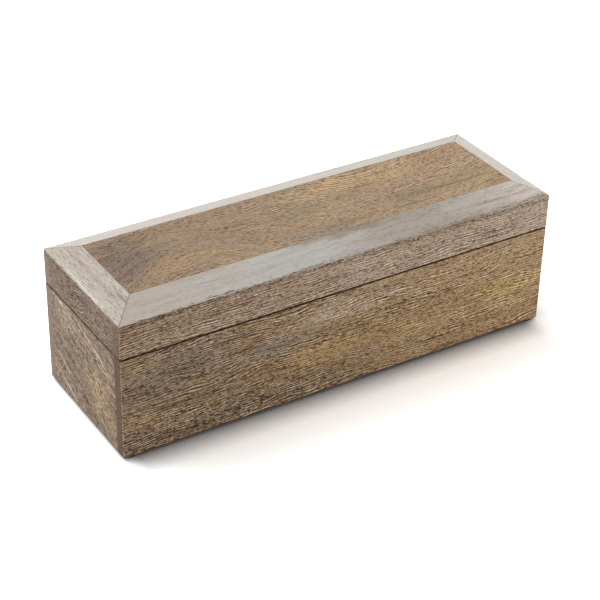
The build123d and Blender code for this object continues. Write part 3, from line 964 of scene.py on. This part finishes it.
def repeated(name, points, settings):
    """One plain mesh object of a piece repeated on points, with the settings of the node tree."""
    carrier_mesh = bpy.data.meshes.new(f"{name}_points")
    carrier_mesh.from_pydata(points, [], [])
    carrier = bpy.data.objects.new(f"{name}_points", carrier_mesh)
    scene.collection.objects.link(carrier)
    modifier = carrier.modifiers.new("repeat", "NODES")
    modifier.node_group = repeat
    for item in repeat.interface.items_tree:
        if item.in_out == "INPUT" and item.name in settings:
            modifier[item.identifier] = settings[item.name]
    bpy.context.view_layer.update()
    evaluated = carrier.evaluated_get(bpy.context.evaluated_depsgraph_get())
    mesh = bpy.data.meshes.new_from_object(evaluated)
    mesh.name = name
    bpy.data.objects.remove(carrier)
    made = bpy.data.objects.new(name, mesh)
    scene.collection.objects.link(made)
    print(name, "has", len(mesh.polygons), "faces on", len(points), "points")
    return made


# %% [markdown]
# The body's screws stand head up in the lower leaves, and the lid's stand head down in the upper ones, tipped
# over by half a turn. Their places come from the leaves and from the model's own screws, which they replace.

# %% The hinges' screws
screw_half_spacing = 7.5 * MM
screw_low, screw_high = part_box("body_hinge_screws")
lid_screw_low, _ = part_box("lid_hinge_screws")
screw_y = (screw_low.y + screw_high.y) / 2
hinge_middles = []
for side in ("left", "right"):
    leaf_low, leaf_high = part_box(f"{side}_hinge_body_leaf")
    hinge_middles.append((leaf_low.x + leaf_high.x) / 2)
screw_xs = [middle + sign * screw_half_spacing for middle in hinge_middles for sign in (-1, 1)]

body_screws = repeated("body_screws", [(x, screw_y, screw_high.z) for x in screw_xs], {
    "Piece": screw, "Most Turn": math.pi, "Seed": 3, "Finish": brass})
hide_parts("body_hinge_screws")
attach(body_screws, "box")
lid_screws = repeated("lid_screws", [(x, screw_y, lid_screw_low.z) for x in screw_xs], {
    "Piece": screw, "Tip": math.pi, "Most Turn": math.pi, "Seed": 8, "Finish": brass})
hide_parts("lid_hinge_screws")
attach(lid_screws, "lid")
bpy.data.objects.remove(screw)

# %% [markdown]
# Four black rubber feet are pressed on under the corners. A moulded foot has a rounded lower rim and a
# shallow cup in its middle, which grips the table. Rubber is nearly black, dull, and paler where dust clings.

# %% Moulded black rubber
clean_rubber, dusty_rubber = "#1b1a19", "#4a4641"
dust_mm, dust_from, dust_to, most_dust = 1.2, 0.45, 0.8, 0.6
rubber_roughness, dust_depth_mm, dust_relief = (0.6, 0.9), 0.03, 0.5

rubber, rubber_tree = new_material("moulded_black_rubber")
rubber_place = add_node(rubber_tree, "ShaderNodeTexCoord")
dust = add_node(rubber_tree, "ShaderNodeTexNoise", {
    "Vector": rubber_place.outputs["Object"], "Scale": 1 / (dust_mm * MM), "Detail": 4.0})
dusty = ranged(rubber_tree, dust, (dust_from, dust_to), (0.0, most_dust))
rubber_colour = laid_over(rubber_tree, linear(clean_rubber), [(dusty, linear(dusty_rubber))])
finish_surface(rubber_tree, dust, rubber_colour, rubber_roughness, dust_depth_mm, dust_relief, hollow=False)
print("the rubber's tree has", len(rubber_tree.nodes), "nodes")

# %% Rubber feet
foot_low, foot_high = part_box("pad_front_left")
foot_radius, foot_height = (foot_high.x - foot_low.x) / 2, foot_high.z - foot_low.z
foot_round, foot_cup_radius, foot_cup_depth = 0.45 * MM, 2.6 * MM, 0.25 * MM
foot_sides, round_steps = 48, 6

profile = [(foot_radius, 0.0)]
for step in range(round_steps + 1):
    angle = math.pi / 2 * step / round_steps
    profile.append((foot_radius - foot_round * (1 - math.cos(angle)),
                    -foot_height + foot_round * (1 - math.sin(angle))))
profile += [(foot_cup_radius + foot_cup_depth, -foot_height),
            (foot_cup_radius, -foot_height + foot_cup_depth)]
foot_angles = [2 * math.pi * side / foot_sides for side in range(foot_sides)]
form, last_ring = ringed_form([
    [(reach * math.cos(angle), reach * math.sin(angle), height) for angle in foot_angles]
    for reach, height in profile])
form.faces.new(list(reversed(last_ring)))
bmesh.ops.recalc_face_normals(form, faces=form.faces)
foot = bpy.data.objects.new("rubber_foot", smooth_mesh(form, "rubber_foot", turned_degrees))

pads = [f"pad_{end}_{side}" for end in ("front", "rear") for side in ("left", "right")]
foot_points = []
for pad in pads:
    pad_low, pad_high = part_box(pad)
    foot_points.append(((pad_low.x + pad_high.x) / 2, (pad_low.y + pad_high.y) / 2, pad_high.z))
feet = repeated("rubber_feet", foot_points, {
    "Piece": foot, "Most Turn": math.pi, "Seed": 5, "Finish": rubber})
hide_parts(*pads)
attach(feet, "box")
bpy.data.objects.remove(foot)
